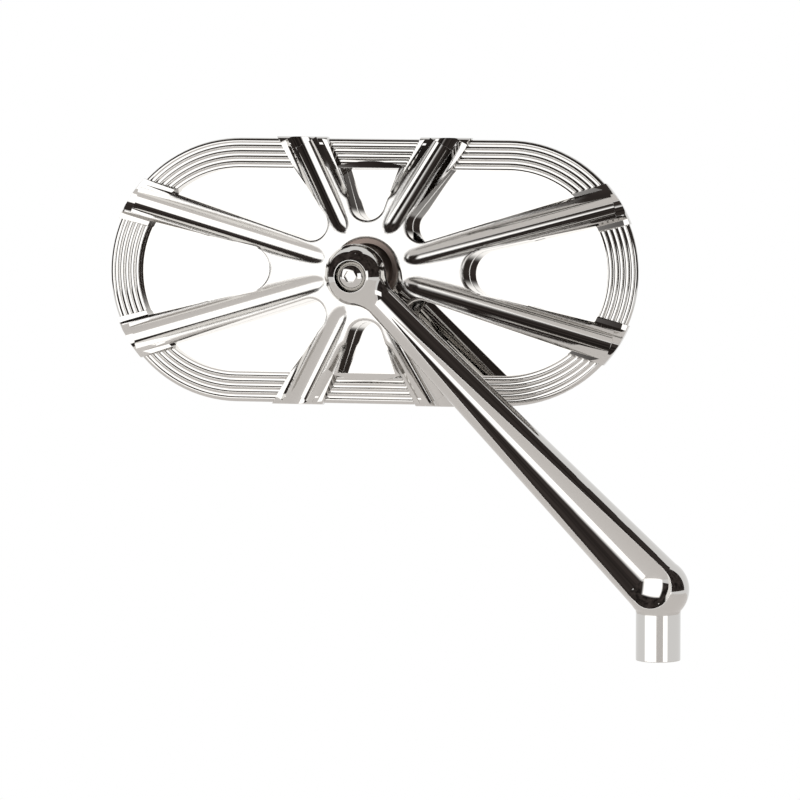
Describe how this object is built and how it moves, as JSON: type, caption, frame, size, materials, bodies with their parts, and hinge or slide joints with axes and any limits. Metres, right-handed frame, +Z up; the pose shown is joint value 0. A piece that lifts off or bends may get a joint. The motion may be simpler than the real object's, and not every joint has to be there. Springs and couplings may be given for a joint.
{
  "type": "motorcycle mirror",
  "caption": "Handlebar mirror: chromed obround head with a fluted, spoked open back, on a ball joint and a straight tapered arm with a scooped front and a threaded stem.",
  "frame": {"origin": "centre of the stem's bottom face, on the axis of its threaded hole", "axes": "+Z up along the stem, +Y the way the glass faces, +X from the head towards the stem; the spoked back faces -Y"},
  "size_m": [0.1819, 0.0456, 0.1527],
  "materials": {
    "chromed_aluminium": "polished",
    "chromed_steel": "polished",
    "satin_steel": "satin",
    "plated_steel": "satin",
    "nylon": "satin",
    "foam_rubber": "matte",
    "rubber": "matte",
    "mirror_glass": "polished"
  },
  "bodies": {
    "arm": {"arm": "chromed_aluminium", "ball_stud": "satin_steel", "stud_screw": "chromed_steel", "lock_washer": "plated_steel", "stud_dowel": "plated_steel"},
    "liner": {"ball_liner": "nylon"},
    "seat": {"front_seat": "nylon", "rear_seat": "nylon"},
    "head": {"spoke_frame": "chromed_aluminium", "socket_ring": "chromed_steel", "disc_spring": "plated_steel", "pressure_plate": "plated_steel", "clamp_screw_1": "plated_steel", "clamp_screw_2": "plated_steel", "clamp_screw_3": "plated_steel", "clamp_screw_4": "plated_steel", "floor_plate": "chromed_aluminium", "plate_screw_1": "plated_steel", "plate_screw_2": "plated_steel", "plate_screw_3": "plated_steel", "plate_screw_4": "plated_steel", "plate_screw_5": "plated_steel", "plate_screw_6": "plated_steel", "plate_screw_7": "plated_steel", "plate_screw_8": "plated_steel", "glass_pad": "foam_rubber", "mirror_glass": "mirror_glass", "glass_gasket": "rubber"}
  },
  "joints": [
    {"name": "tilt", "type": "hinge", "parent": "arm", "child": "liner", "pos_m": [-0.0915, 0.018, 0.113], "axis": [1, 0, 0], "range_deg": [-8, 25]},
    {"name": "pan", "type": "hinge", "parent": "liner", "child": "seat", "pos_m": [-0.0915, 0.018, 0.113], "axis": [0, 0.0958, 0.9954], "range_deg": [-7, 20]},
    {"name": "roll", "type": "hinge", "parent": "seat", "child": "head", "pos_m": [-0.0915, 0.018, 0.113], "axis": [0, 0.9954, -0.0958], "range_deg": [-30, 12]}
  ]
}
